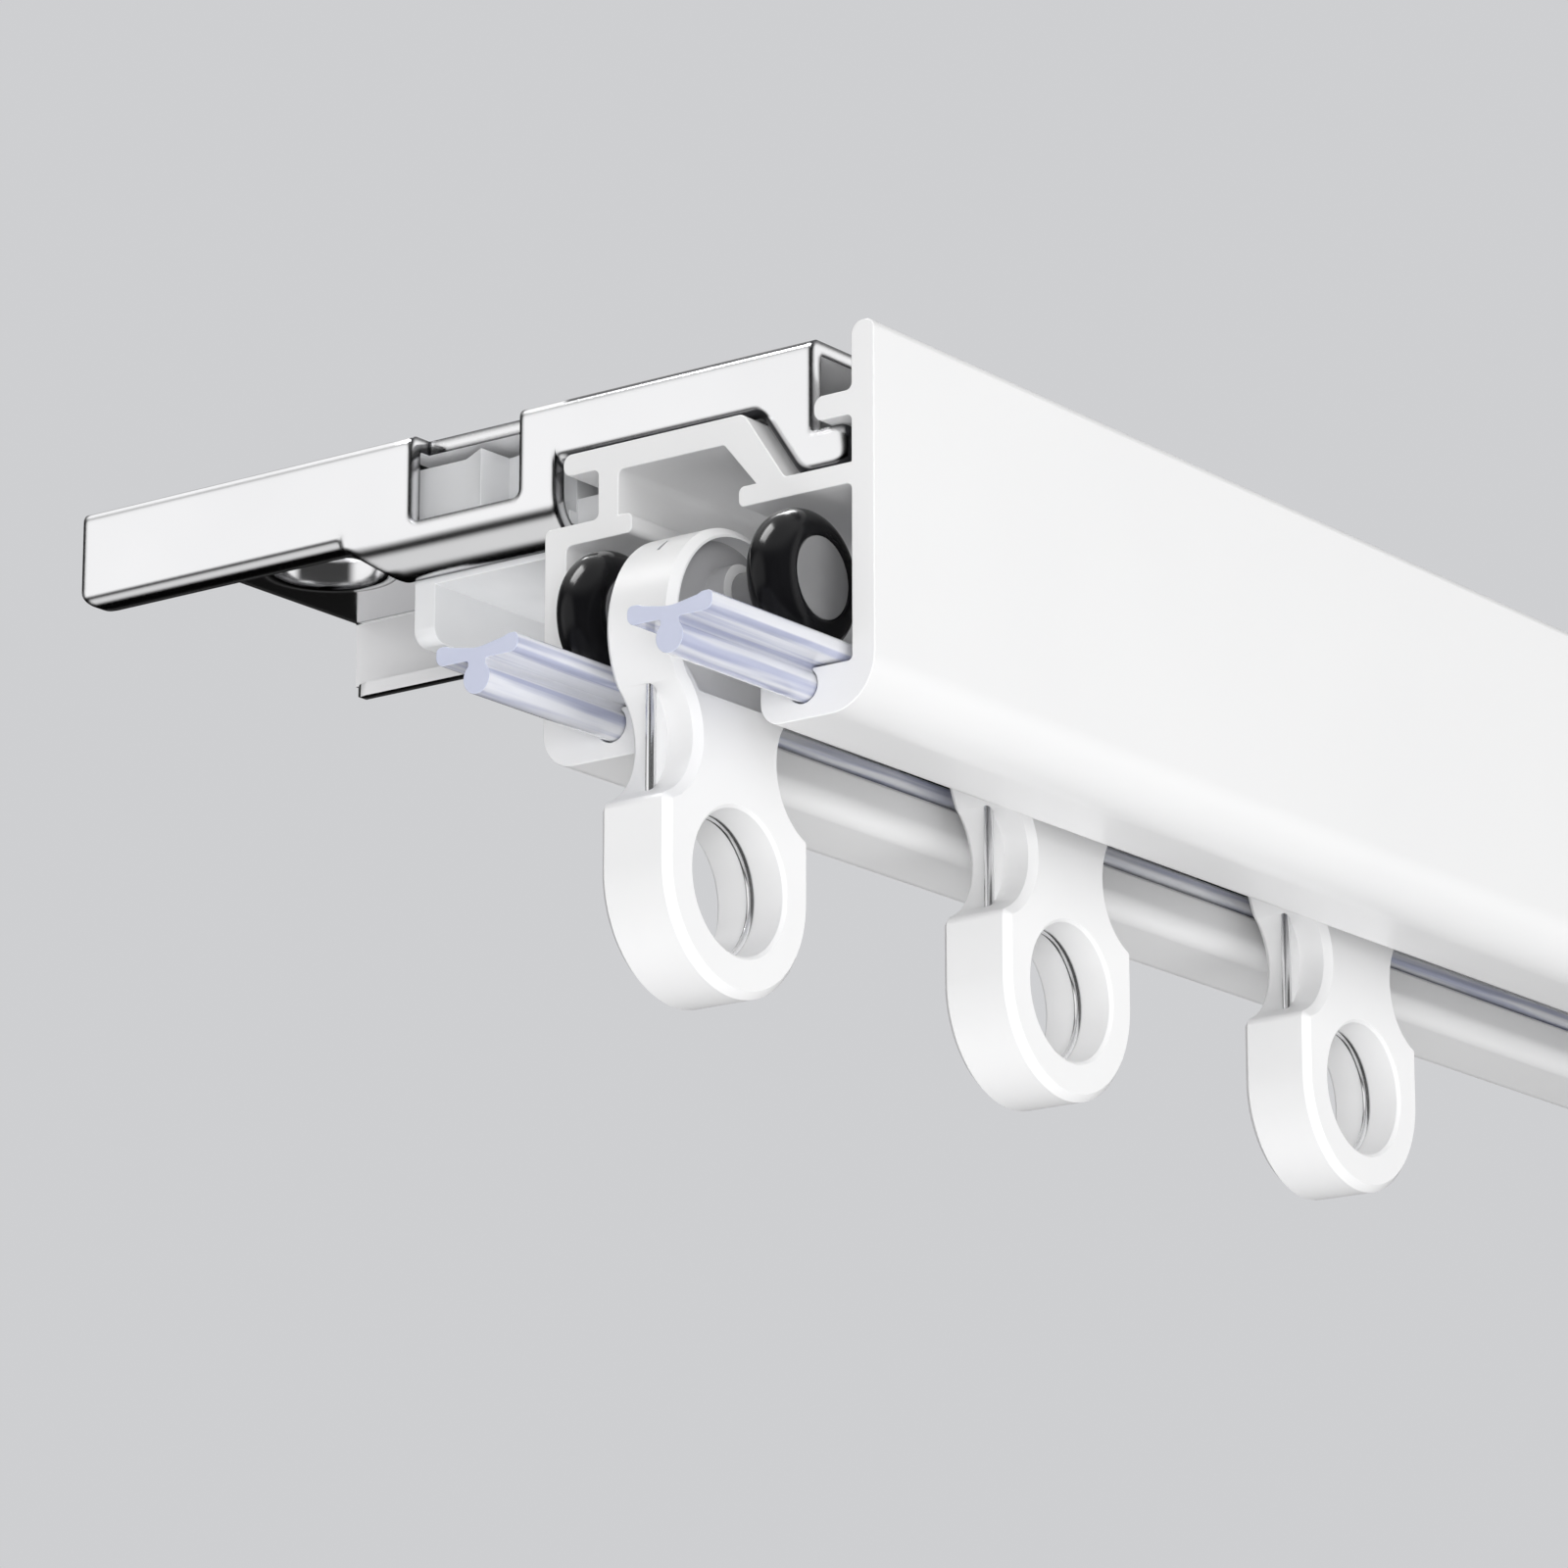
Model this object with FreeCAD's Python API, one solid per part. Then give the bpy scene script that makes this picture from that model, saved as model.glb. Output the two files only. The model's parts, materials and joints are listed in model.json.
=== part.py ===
import FreeCAD, Part
import math
import os

from FreeCAD import Vector

os.makedirs("parts", exist_ok=True)

# Sizes in millimetres. The origin is the axis of the ceiling screw, on the ceiling.
# X runs along the track, away from its cut end. Y runs from the plain fascia towards
# the bracket's long arm. Z is up, so everything hangs below zero.
# "Depth" means distance below the ceiling, "across" is measured from the track's centre line.

# Track section
track_length = 155.0
track_width = 24.0
track_depth = 23.2
track_wall = 1.62
fascia_gap = 0.05
fascia_outer_round = 0.6
fascia_inner_round = 0.9
fascia_bottom_round = 3.2
rear_bottom_round = 2.2
inner_round = 0.4

web_depth = 4.07
web_wall = 1.65
web_front = 2.68
web_round = 0.8
slant_run = 2.93
floor_depth = 8.46
floor_wall = 1.27
ledge_depth = 4.1
ledge_wall = 1.5
ledge_reach = 2.67
ledge_round = 0.65

lip_reach = 2.63
lip_wall = 1.35
lip_round = 0.6
pocket_setback = 1.34
neck_wall = 1.51
hook_reach = 1.02
hook_wall = 1.25
chamber_slant = 2.32
chamber_front = 1.23
front_hook_reach = 1.24

slot_width = 7.8
slot_round = 2.0
rail_height = 2.95
rail_top_round = 0.3

# Silencer strips
strip_proud = 12.4
strip_foot_radius = 0.97
strip_neck_width = 1.3
strip_groove_fit = 0.08
strip_mouth_fit = 0.05
strip_foot_drop = 0.95
strip_offset = 6.9
strip_span = 6.0
strip_lift = 0.12
strip_thickness = 0.68
strip_tip_height = 1.16
strip_tip_width = 1.1
strip_rise = math.radians(10)

# Ceiling bracket
sheet = 0.9
bracket_width = 27.4
bracket_inset = 1.0
bracket_overhang = 8.6
screw_to_track = 41.3
plate_end = 6.84
bend_radius = 1.2
roll_radius = 1.0
roll_foot = 0.7
seat_gap = 0.05
slant_gap = 0.2
arm_depth = 6.21
arm_end_round = 1.1
step_start = 28.7
step_run = 3.4
step_round = 1.6
rear_gap = 0.1
lip_crease_depth = 5.6
curl_radius = 3.1
curl_angle = math.radians(72)
tongue_gap = 0.65
tongue_round = 0.8
tongue_top_gap = 0.08
window_start = 2.8
window_length = 8.45
window_depth = 5.55
window_plate_cut = 1.75
window_round = 0.5
screw_hole_radius = 3.5
collar_wall = 0.9
collar_depth = 2.1
collar_round = 0.6

# Catch slide
catch_edge_gap = 0.12
catch_sunk = 0.1
catch_shoulder = 0.8
catch_shoulder_gap = 0.15
catch_underside_drop = 0.25
catch_floor = 1.4
catch_wall = 1.3
catch_front_gap = 0.3
catch_length = 12.6
catch_nose_gap = 0.08
catch_nose_back = 0.27
catch_arm_set = 1.5
catch_arm_top_depth = 1.4
catch_arm_step = 0.7
catch_arm_step_length = 1.6
catch_arm_thickness = 1.4
tooth_gap = 0.3
tooth_from_front = 6.45
tooth_ramp = 2.15
tooth_hollow = 1.4
tab_thickness = 1.6
tab_drop = 3.6
tab_round = 1.0

# Runners
runner_pitch = 33.5
runner_count = 3
wheel_headroom = 1.02
wheel_width = 3.0
wheel_lift = 0.1
tyre_height = 1.83
axle_radius = 0.8
axle_fit = 0.04
hub_cap = 0.7
axle_end_play = 0.1
hub_collar_radius = 1.25
boss_radius = 1.8
boss_proud = 0.15
boss_play = 0.1

runner_thickness = 5.0
head_radius = 6.5
head_drop = 2.55
neck_radius = 4.0
neck_overlap = 0.14
waist_half_width = 3.9
eye_drop = 17.0
eye_bore_radius = 4.3
eye_outer_radius = 6.75
crease_round = 0.6
edge_bevel = 0.45
bore_bevel = 0.2
recess_rim = 0.6
recess_depth = 1.2
recess_neck_rim = 0.8

wire_radius = 0.3
link_radius = 5.15
ring_radius = 4.38
fin_thickness = 0.5
slit_length = 1.3
slit_width = 0.2
slit_depth = 0.5
slit_angle = math.radians(129)

# Places worked out from the sizes above
half_track = track_width / 2
cut_end = -(bracket_width / 2 + bracket_inset)
far_end = cut_end + track_length
fascia_inside = -half_track + track_wall
rear_inside = half_track - track_wall
lip_nose = half_track - pocket_setback
pocket_wall = lip_nose - lip_reach
neck_inside = pocket_wall - neck_wall
rail_top = -(track_depth - rail_height)
strip_underside = rail_top + strip_lift
strip_valley = strip_underside + strip_thickness
foot_centre = rail_top - strip_foot_drop
lane_ceiling = -(floor_depth + floor_wall)
wheel_radius = (lane_ceiling - strip_valley - wheel_lift - wheel_headroom) / 2
tyre_core = wheel_radius - tyre_height
axle_height = strip_valley + wheel_lift + wheel_radius
neck_offset = waist_half_width + neck_radius
neck_reach = head_radius + neck_radius - neck_overlap
neck_drop = head_drop + math.sqrt(neck_reach ** 2 - neck_offset ** 2)
eye_crease_fall = math.sqrt(neck_radius ** 2 - (neck_offset - eye_outer_radius) ** 2)
boss_end = runner_thickness / 2 + boss_proud
half_bracket = bracket_width / 2
flange_inside = half_bracket - sheet


def centre_line(across):
    """Row Y of a place measured across the track from its centre line."""
    return across - screw_to_track


def in_section(x):
    """Places (across, up) of a section that is extruded along the track."""
    return lambda across, up: Vector(x, centre_line(across), up)


def in_side_view(y):
    """Places (along, up) of an outline that is extruded across the track."""
    return lambda along, up: Vector(along, y, up)


def rounded_path(corners, closed):
    """Start, middle and end of the arc at each corner (across, up, radius)."""
    stops = []
    last = len(corners) - 1
    for index, (across, up, radius) in enumerate(corners):
        corner = Vector(across, up, 0)
        if radius == 0 or (not closed and index in (0, last)):
            stops.append((corner, None, corner))
            continue
        before = corners[index - 1]
        after = corners[(index + 1) % len(corners)]
        back = Vector(before[0], before[1], 0) - corner
        ahead = Vector(after[0], after[1], 0) - corner
        half_angle = back.getAngle(ahead) / 2
        run = min(radius / math.tan(half_angle), 0.48 * back.Length, 0.48 * ahead.Length)
        radius = run * math.tan(half_angle)
        back.normalize()
        ahead.normalize()
        inward = (back + ahead).normalize()
        middle = corner + inward * (radius / math.sin(half_angle) - radius)
        stops.append((corner + back * run, middle, corner + ahead * run))
    return stops


def outline(corners, place, closed=True):
    """Wire of straight runs and tangent arcs through the corners."""
    stops = rounded_path(corners, closed)
    edges = []
    for index, (start, middle, end) in enumerate(stops):
        if middle is not None:
            arc = Part.Arc(place(start.x, start.y), place(middle.x, middle.y), place(end.x, end.y))
            edges.append(arc.toShape())
        if index == len(stops) - 1 and not closed:
            break
        following = stops[(index + 1) % len(stops)][0]
        if (following - end).Length > 1e-6:
            edges.append(Part.makeLine(place(end.x, end.y), place(following.x, following.y)))
    return Part.Wire(edges)


def along_track(corners, start, end):
    """Solid with this section from one place on the track to another."""
    return Part.Face(outline(corners, in_section(start))).extrude(Vector(end - start, 0, 0))


def across_track(corners, start, end):
    """Solid with this side outline from one Y to another."""
    return Part.Face(outline(corners, in_side_view(start))).extrude(Vector(0, end - start, 0))


def box(low, high):
    size = Vector(*high) - Vector(*low)
    return Part.makeBox(size.x, size.y, size.z, Vector(*low))


def both_sides(shape):
    """The shape with its mirror image about the bracket's middle plane."""
    return shape.fuse(shape.mirror(Vector(0, 0, 0), Vector(1, 0, 0)))


def save(node, shape):
    solid = shape.removeSplitter()
    if len(solid.Solids) == 1:
        solid = solid.Solids[0]
    print(node, len(shape.Solids), round(solid.Volume, 2), solid.isValid())
    solid.exportStep(f"parts/{node}.step")


def slant_point(depth):
    """Where the track's outer slant lies at this depth."""
    share = (depth - web_depth) / (floor_depth - web_depth)
    return -(web_front + slant_run * share)


# Track profile: one open section with a plain fascia, a raised chamber, two wheel
# lanes, two rails with a groove each, and the slot that the runners hang through
def track_profile():
    hook_top = lane_ceiling + hook_wall
    chamber_top = -(web_depth + web_wall)
    front_hook = -(chamber_front + chamber_slant) + front_hook_reach
    rear_hook = neck_inside - hook_reach
    half_slot = slot_width / 2
    corners = [
        (-half_track, -fascia_gap, fascia_outer_round),
        (-half_track, -track_depth, fascia_bottom_round),
        (-half_slot, -track_depth, slot_round),
        (-half_slot, rail_top, rail_top_round),
        (fascia_inside, rail_top, rail_top_round),
        (fascia_inside, lane_ceiling, inner_round),
        (front_hook, lane_ceiling, inner_round),
        (front_hook, hook_top, inner_round),
        (-(chamber_front + chamber_slant), hook_top, 0),
        (-chamber_front, chamber_top, inner_round),
        (neck_inside, chamber_top, inner_round),
        (neck_inside, hook_top, 0),
        (rear_hook, hook_top, inner_round),
        (rear_hook, lane_ceiling, inner_round),
        (rear_inside, lane_ceiling, inner_round),
        (rear_inside, rail_top, rail_top_round),
        (half_slot, rail_top, rail_top_round),
        (half_slot, -track_depth, slot_round),
        (half_track, -track_depth, rear_bottom_round),
        (half_track, -floor_depth, inner_round),
        (pocket_wall, -floor_depth, inner_round),
        (pocket_wall, -(web_depth + lip_wall), inner_round),
        (lip_nose, -(web_depth + lip_wall), lip_round),
        (lip_nose, -web_depth, lip_round),
        (-web_front, -web_depth, web_round),
        (-(web_front + slant_run), -floor_depth, inner_round),
        (fascia_inside, -floor_depth, 0),
        (fascia_inside, -(ledge_depth + ledge_wall), inner_round),
        (fascia_inside + ledge_reach, -(ledge_depth + ledge_wall), ledge_round),
        (fascia_inside + ledge_reach, -ledge_depth, ledge_round),
        (fascia_inside, -ledge_depth, inner_round),
        (fascia_inside, -fascia_gap, fascia_inner_round),
    ]
    section = Part.Face(outline(corners, in_section(cut_end)))
    for side in (-1, 1):
        section = section.cut(strip_groove(side * strip_offset))
    return section.extrude(Vector(track_length, 0, 0))


def strip_groove(across):
    """Round groove with a narrower mouth that holds a strip's foot."""
    radius = strip_foot_radius + strip_groove_fit
    half_mouth = strip_neck_width / 2 + strip_mouth_fit
    centre = in_section(cut_end)(across, foot_centre)
    groove = Part.Face(Part.Wire(Part.makeCircle(radius, centre, Vector(1, 0, 0))))
    mouth = [
        (across - half_mouth, foot_centre, 0),
        (across + half_mouth, foot_centre, 0),
        (across + half_mouth, rail_top + rail_height, 0),
        (across - half_mouth, rail_top + rail_height, 0),
    ]
    return groove.fuse(Part.Face(outline(mouth, in_section(cut_end)))).removeSplitter()


# Silencer strip: two wings with thick rounded tips on a neck and a round foot
def silencer_strip(side):
    middle = side * strip_offset
    half_neck = strip_neck_width / 2
    half_span = strip_span / 2
    wing = half_span - strip_tip_width
    tip_top = strip_underside + strip_tip_height
    wing_top = strip_valley + wing * math.tan(strip_rise)
    tip_round = strip_tip_height * 0.47
    right_half = [
        (wing, wing_top, 0.3),
        (wing + 0.35 * strip_tip_width, tip_top, 0.35),
        (half_span, tip_top, tip_round),
        (half_span, strip_underside, tip_round),
        (half_neck, strip_underside, 0.15),
        (half_neck, foot_centre, 0),
    ]
    left_half = [(-across, up, radius) for across, up, radius in reversed(right_half)]
    wings = [(0, strip_valley, 3.0)] + right_half + left_half
    section = [(middle + across, up, radius) for across, up, radius in wings]
    start = cut_end - strip_proud
    foot = Part.makeCylinder(
        strip_foot_radius,
        far_end - start,
        in_section(start)(middle, foot_centre),
        Vector(1, 0, 0),
    )
    return along_track(section, start, far_end).fuse(foot)


# Ceiling bracket: one folded sheet. The flanges' lower edges are rolled inwards, so
# that they rest on the track's web and floor and carry the catch slide behind it
web_crease = -web_depth + roll_radius + seat_gap
floor_crease = -floor_depth + roll_radius + seat_gap
arm_crease = -arm_depth + roll_radius
tongue_top = -(ledge_depth + ledge_wall + tongue_top_gap)
tongue_nose = fascia_inside + tongue_gap
bracket_rear = half_track + rear_gap
bracket_left = screw_to_track + bracket_overhang
curl_bottom = -(lip_crease_depth + curl_radius * math.sin(curl_angle))
slant_slope = math.atan2(floor_depth - web_depth, slant_run)


def slant_crease(height):
    """Across place of the crease that runs beside the track's slant at this height."""
    offset = (roll_radius + slant_gap) / math.sin(slant_slope)
    return slant_point(-height) - offset


def flange_creases():
    """Crease line of the flange over the track, from its rear edge to the tongue's nose."""
    return [
        (bracket_rear, web_crease, 0),
        (slant_crease(web_crease), web_crease, roll_radius * 1.6),
        (slant_crease(floor_crease), floor_crease, roll_radius),
        (tongue_nose + roll_radius, floor_crease, roll_radius * 0.4),
        (tongue_nose + roll_radius, tongue_top, 0),
    ]


def flange_face():
    """Flat part of the near flange, between the plate's bend and its lower creases."""
    corners = [
        (bracket_left, -bend_radius, 0),
        (bracket_left, arm_crease, 0),
        (step_start, arm_crease, 0),
        (step_start, -lip_crease_depth, 0),
        (bracket_rear, -lip_crease_depth, 0),
    ]
    corners += flange_creases()
    corners += [(-plate_end, tongue_top, 0), (-plate_end, -bend_radius, 0)]
    return along_track(corners, -half_bracket, -flange_inside)


def rolled_section(height, y):
    """Section of a rolled lower edge with its short inward foot, at the near flange."""
    centre = -half_bracket + roll_radius
    inner = roll_radius - sheet
    place = in_side_view(y)
    slope = math.sqrt(0.5)
    outer_middle = place(centre - roll_radius * slope, height - roll_radius * slope)
    inner_middle = place(centre - inner * slope, height - inner * slope)
    foot = centre + roll_foot
    edges = [
        Part.Arc(
            place(-half_bracket, height), outer_middle, place(centre, height - roll_radius)
        ).toShape(),
        Part.makeLine(place(centre, height - roll_radius), place(foot, height - roll_radius)),
        Part.makeLine(place(foot, height - roll_radius), place(foot, height - inner)),
        Part.makeLine(place(foot, height - inner), place(centre, height - inner)),
        Part.Arc(
            place(centre, height - inner), inner_middle, place(-flange_inside, height)
        ).toShape(),
        Part.makeLine(place(-flange_inside, height), place(-half_bracket, height)),
    ]
    return Part.Wire(edges)


def track_roll():
    """Rolled edge that follows the flange over the track and round the tongue."""
    path = outline(flange_creases(), in_section(-half_bracket), closed=False)
    sweep = Part.BRepOffsetAPI.MakePipeShell(path)
    sweep.setBiNormalMode(Vector(1, 0, 0))
    sweep.add(rolled_section(web_crease, centre_line(bracket_rear)))
    sweep.build()
    sweep.makeSolid()
    return sweep.shape()


def arm_roll():
    """Rolled edge along the underside of the arm, rounded off to nothing at the arm's end."""
    start = centre_line(step_start)
    reach = roll_radius + roll_foot
    corner = centre_line(bracket_left) - reach
    section = Part.Face(rolled_section(arm_crease, start))
    roll = section.extrude(Vector(0, corner + reach - start, 0))
    straight = box((-half_bracket - sheet, start, -arm_depth - sheet), (0, corner, 0))
    centre = Vector(-half_bracket, corner, -arm_depth - sheet)
    return roll.common(straight.fuse(Part.makeCylinder(reach, arm_depth + sheet, centre)))


def curled_lip():
    """Deep part of the flange behind the track, curled in under the catch slide."""
    middle = (-half_bracket + curl_radius, -lip_crease_depth)
    start = centre_line(bracket_rear)
    place = in_side_view(start)

    def on_curl(radius, angle):
        return place(middle[0] - radius * math.cos(angle), middle[1] - radius * math.sin(angle))

    inner = curl_radius - sheet
    half = curl_angle / 2
    edges = [
        Part.Arc(
            on_curl(curl_radius, 0), on_curl(curl_radius, half), on_curl(curl_radius, curl_angle)
        ).toShape(),
        Part.makeLine(on_curl(curl_radius, curl_angle), on_curl(inner, curl_angle)),
        Part.Arc(on_curl(inner, curl_angle), on_curl(inner, half), on_curl(inner, 0)).toShape(),
        Part.makeLine(on_curl(inner, 0), on_curl(curl_radius, 0)),
    ]
    lip = Part.Face(Part.Wire(edges))
    return lip.extrude(Vector(0, centre_line(step_start) - start, 0))


def bracket_side():
    """Side view of the whole bracket, with its rounded arm end and its stepped underside."""
    return [
        (bracket_left, sheet, 0),
        (bracket_left, -arm_depth, arm_end_round),
        (step_start, -arm_depth, step_round),
        (step_start - step_run, curl_bottom, step_round),
        (bracket_rear, curl_bottom, 0),
        (bracket_rear, -floor_depth, 0),
        (tongue_nose, -floor_depth, tongue_round),
        (tongue_nose, tongue_top, tongue_round),
        (-plate_end, tongue_top, 0),
        (-plate_end, sheet, 0),
    ]


def plate_and_bends():
    """Flat top with its two rounded bends."""
    start = centre_line(-plate_end)
    inside = max(bend_radius - sheet, 0.05)
    corners = [
        (-half_bracket, 0, bend_radius),
        (half_bracket, 0, bend_radius),
        (half_bracket, -bend_radius, 0),
        (flange_inside, -bend_radius, 0),
        (flange_inside, -sheet, inside),
        (-flange_inside, -sheet, inside),
        (-flange_inside, -bend_radius, 0),
        (-half_bracket, -bend_radius, 0),
    ]
    return across_track(corners, start, centre_line(bracket_left))


def window():
    """Opening through the near flange, its bend and the plate's edge, beside the catch."""
    start = bracket_rear + window_start - rear_gap
    end = start + window_length
    corners = [
        (start, -window_depth, window_round),
        (end, -window_depth, window_round),
        (end, sheet, 0),
        (start, sheet, 0),
    ]
    return along_track(corners, -half_bracket - sheet, -half_bracket + window_plate_cut)


def ceiling_bracket():
    side = flange_face().fuse([track_roll(), arm_roll(), curled_lip()])
    bracket = plate_and_bends().fuse(both_sides(side))
    bracket = bracket.common(along_track(bracket_side(), -half_bracket, half_bracket))
    bracket = bracket.cut(both_sides(window()))
    down = Vector(0, 0, -1)
    collar_radius = screw_hole_radius + collar_wall
    collar = Part.makeCylinder(collar_radius, collar_depth, Vector(0, 0, 0), down)
    skirt_height = sheet + collar_round
    skirt = Part.makeCylinder(collar_radius + collar_round, skirt_height, Vector(0, 0, 0), down)
    hollow = Part.makeTorus(collar_radius + collar_round, collar_round, Vector(0, 0, -skirt_height))
    skirt = skirt.cut(hollow)
    bracket = bracket.fuse([collar, skirt])
    return bracket.cut(Part.makeCylinder(screw_hole_radius, 2 * collar_depth, Vector(0, 0, 1), down))


# Catch slide: its floor lies between the bracket's curled lips, its nose fills the
# pocket under the track's rear lip, and its tab hangs down for a finger
def catch_slide():
    curl_middle = half_bracket - curl_radius
    curl_inner = curl_radius - sheet
    half_floor = curl_middle + curl_inner * math.cos(curl_angle) - catch_edge_gap
    half_shoulder = half_floor + catch_shoulder
    shoulder_drop = math.sqrt(curl_inner ** 2 - (half_shoulder - curl_middle) ** 2)
    shoulder = -lip_crease_depth - shoulder_drop + catch_shoulder_gap
    shoulder_top = shoulder + catch_shoulder
    underside = curl_bottom - catch_underside_drop
    front = half_track + catch_front_gap
    back = front + catch_length
    nose_top = -(web_depth + lip_wall) - catch_nose_gap
    nose_bottom = -floor_depth + catch_nose_gap
    nose_tip = pocket_wall + catch_nose_back

    floor_section = [
        (-half_floor, underside, 0),
        (half_floor, underside, 0),
        (half_floor, shoulder, 0),
        (half_shoulder, shoulder, 0),
        (half_shoulder, shoulder_top, 0),
        (-half_shoulder, shoulder_top, 0),
        (-half_shoulder, shoulder, 0),
        (-half_floor, shoulder, 0),
    ]
    slide = across_track(floor_section, centre_line(front), centre_line(back))
    half_hollow = half_floor - 2 * catch_arm_thickness
    hollow = box(
        (-half_hollow, centre_line(front + catch_wall), underside + catch_floor),
        (half_hollow, centre_line(back - tab_thickness), 0),
    )
    slide = slide.cut(hollow)

    front_wall = box(
        (-half_floor, centre_line(front), underside),
        (half_floor, centre_line(front + catch_wall), nose_top),
    )
    nose_section = [
        (nose_tip, nose_bottom, 0.3),
        (front + catch_wall, nose_bottom, 0),
        (front + catch_wall, nose_top, 0),
        (nose_tip, nose_top, 0.5),
    ]
    nose = along_track(nose_section, -half_floor, half_floor)

    tab = across_track(
        [
            (-half_floor, underside + catch_floor / 2, 0),
            (half_floor, underside + catch_floor / 2, 0),
            (half_floor, underside - tab_drop, tab_round),
            (-half_floor, underside - tab_drop, tab_round),
        ],
        centre_line(back - tab_thickness),
        centre_line(back),
    )
    arm = catch_arm(front, back, shoulder_top - catch_sunk)
    return slide.fuse([front_wall, nose, tab, both_sides(arm)])


def catch_arm(front, back, base):
    """Upright side arm of the catch with the ridge that shows in the window."""
    outer = flange_inside - catch_arm_set
    ridge = flange_inside - tooth_gap
    inner = outer - catch_arm_thickness
    tooth = front + tooth_from_front
    plan = [
        (-outer, back),
        (-outer, tooth + tooth_ramp),
        (-ridge, tooth),
        (-outer + tooth_hollow, tooth - 0.1),
        (-outer + tooth_hollow / 2, front + catch_arm_step_length),
        (-outer, front),
        (-inner + tooth_hollow, front),
        (-inner + tooth_hollow, back),
    ]
    points = [Vector(x, centre_line(y), base) for x, y in plan]
    wall = Part.Face(Part.makePolygon(points + points[:1]))
    arm = wall.extrude(Vector(0, 0, -catch_arm_top_depth - base))
    notch = box(
        (-half_bracket, centre_line(front - 1), -catch_arm_top_depth - catch_arm_step),
        (0, centre_line(front + catch_arm_step_length), 0),
    )
    return arm.cut(notch)


# Runners: each one is a moulded body with a wire link and an eye ring in it, and two
# wheels on one axle pin. Everything here is drawn around the middle of the axle.
def runner_outline():
    """Side outline: round head, narrow waist with a crease at each end, round eye."""
    place = in_side_view(0)
    head = Vector(0, -head_drop, 0)
    neck = Vector(neck_offset, -neck_drop, 0)
    head_crease = upper_crossing(head, head_radius, neck, neck_radius)
    eye_crease = Vector(eye_outer_radius, -neck_drop - eye_crease_fall, 0)

    def right(point):
        return place(point.x, point.y)

    def left(point):
        return place(-point.x, point.y)

    waist = Vector(neck_offset - neck_radius, -neck_drop, 0)
    flank = Vector(eye_outer_radius, -eye_drop, 0)
    edges = [
        Part.Arc(left(head_crease), place(0, head_radius - head_drop), right(head_crease)),
        Part.Arc(right(head_crease), right(waist), right(eye_crease)),
        Part.LineSegment(right(eye_crease), right(flank)),
        Part.Arc(right(flank), place(0, -eye_drop - eye_outer_radius), left(flank)),
        Part.LineSegment(left(flank), left(eye_crease)),
        Part.Arc(left(eye_crease), left(waist), left(head_crease)),
    ]
    return Part.Wire([edge.toShape() for edge in edges])


def upper_crossing(first, first_radius, second, second_radius):
    """The higher of the two places where two circles cross."""
    apart = second - first
    distance = apart.Length
    along = (distance ** 2 + first_radius ** 2 - second_radius ** 2) / (2 * distance)
    aside = math.sqrt(first_radius ** 2 - along ** 2)
    apart.normalize()
    normal = Vector(-apart.y, apart.x, 0)
    points = [first + apart * along + normal * side * aside for side in (-1, 1)]
    return max(points, key=lambda point: point.y)


def disc(x, z, radius, start, end):
    """Round solid across the track, from one Y to another."""
    return Part.makeCylinder(radius, end - start, Vector(x, start, z), Vector(0, 1, 0))


def runner_blank():
    """Body with its outer edges bevelled on both faces."""
    half = runner_thickness / 2
    wire = runner_outline()
    blank = Part.Face(wire).extrude(Vector(0, runner_thickness, 0))
    blank.translate(Vector(0, -half, 0))
    crease_height = -neck_drop - eye_crease_fall
    creases = [
        edge
        for edge in blank.Edges
        if abs(edge.CenterOfMass.y) < 1e-6 and abs(edge.CenterOfMass.z - crease_height) < 1e-6
    ]
    blank = blank.makeFillet(crease_round, creases)
    rims = [edge for edge in blank.Edges if abs(abs(edge.CenterOfMass.y) - half) < 1e-6]
    return blank.makeChamfer(edge_bevel, rims)


def head_recess(side):
    """Hollow in one face of the head, inside a plain rim."""
    half = runner_thickness / 2
    start, end = sorted((side * half, side * (half - recess_depth)))
    hollow = disc(0, -head_drop, head_radius - recess_rim, start, end)
    for across in (-neck_offset, neck_offset):
        neck = disc(across, -neck_drop, neck_radius + recess_neck_rim, start, end)
        hollow = hollow.cut(neck)
    below = box(
        (-head_radius, start, -eye_drop),
        (head_radius, end, -head_drop - head_radius * 0.62),
    )
    return hollow.cut(below)


def eye_bore():
    """Round bore with softened mouths."""
    half = runner_thickness / 2
    bore = disc(0, -eye_drop, eye_bore_radius, -half, half)
    for side in (-1, 1):
        mouth = Part.makeCone(
            eye_bore_radius,
            eye_bore_radius + 2 * bore_bevel,
            2 * bore_bevel,
            Vector(0, side * (half - bore_bevel), -eye_drop),
            Vector(0, side, 0),
        )
        bore = bore.fuse(mouth)
    return bore


def wire_link():
    """Closed oval of round wire: a half turn in the head, two legs, a half turn round the eye."""
    legs = []
    for side in (-1, 1):
        low = Vector(side * link_radius, 0, -eye_drop)
        legs.append(Part.makeCylinder(wire_radius, eye_drop - head_drop, low, Vector(0, 0, 1)))
    turns = []
    for height, turn in ((-head_drop, -180), (-eye_drop, 180)):
        start = Vector(link_radius, 0, height)
        round_wire = Part.Face(Part.Wire(Part.makeCircle(wire_radius, start, Vector(0, 0, 1))))
        turns.append(round_wire.revolve(Vector(0, 0, height), Vector(0, 1, 0), turn))
    return legs[0].fuse([legs[1]] + turns).removeSplitter()


def eye_ring():
    return Part.makeTorus(ring_radius, wire_radius, Vector(0, 0, -eye_drop), Vector(0, 1, 0))


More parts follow.
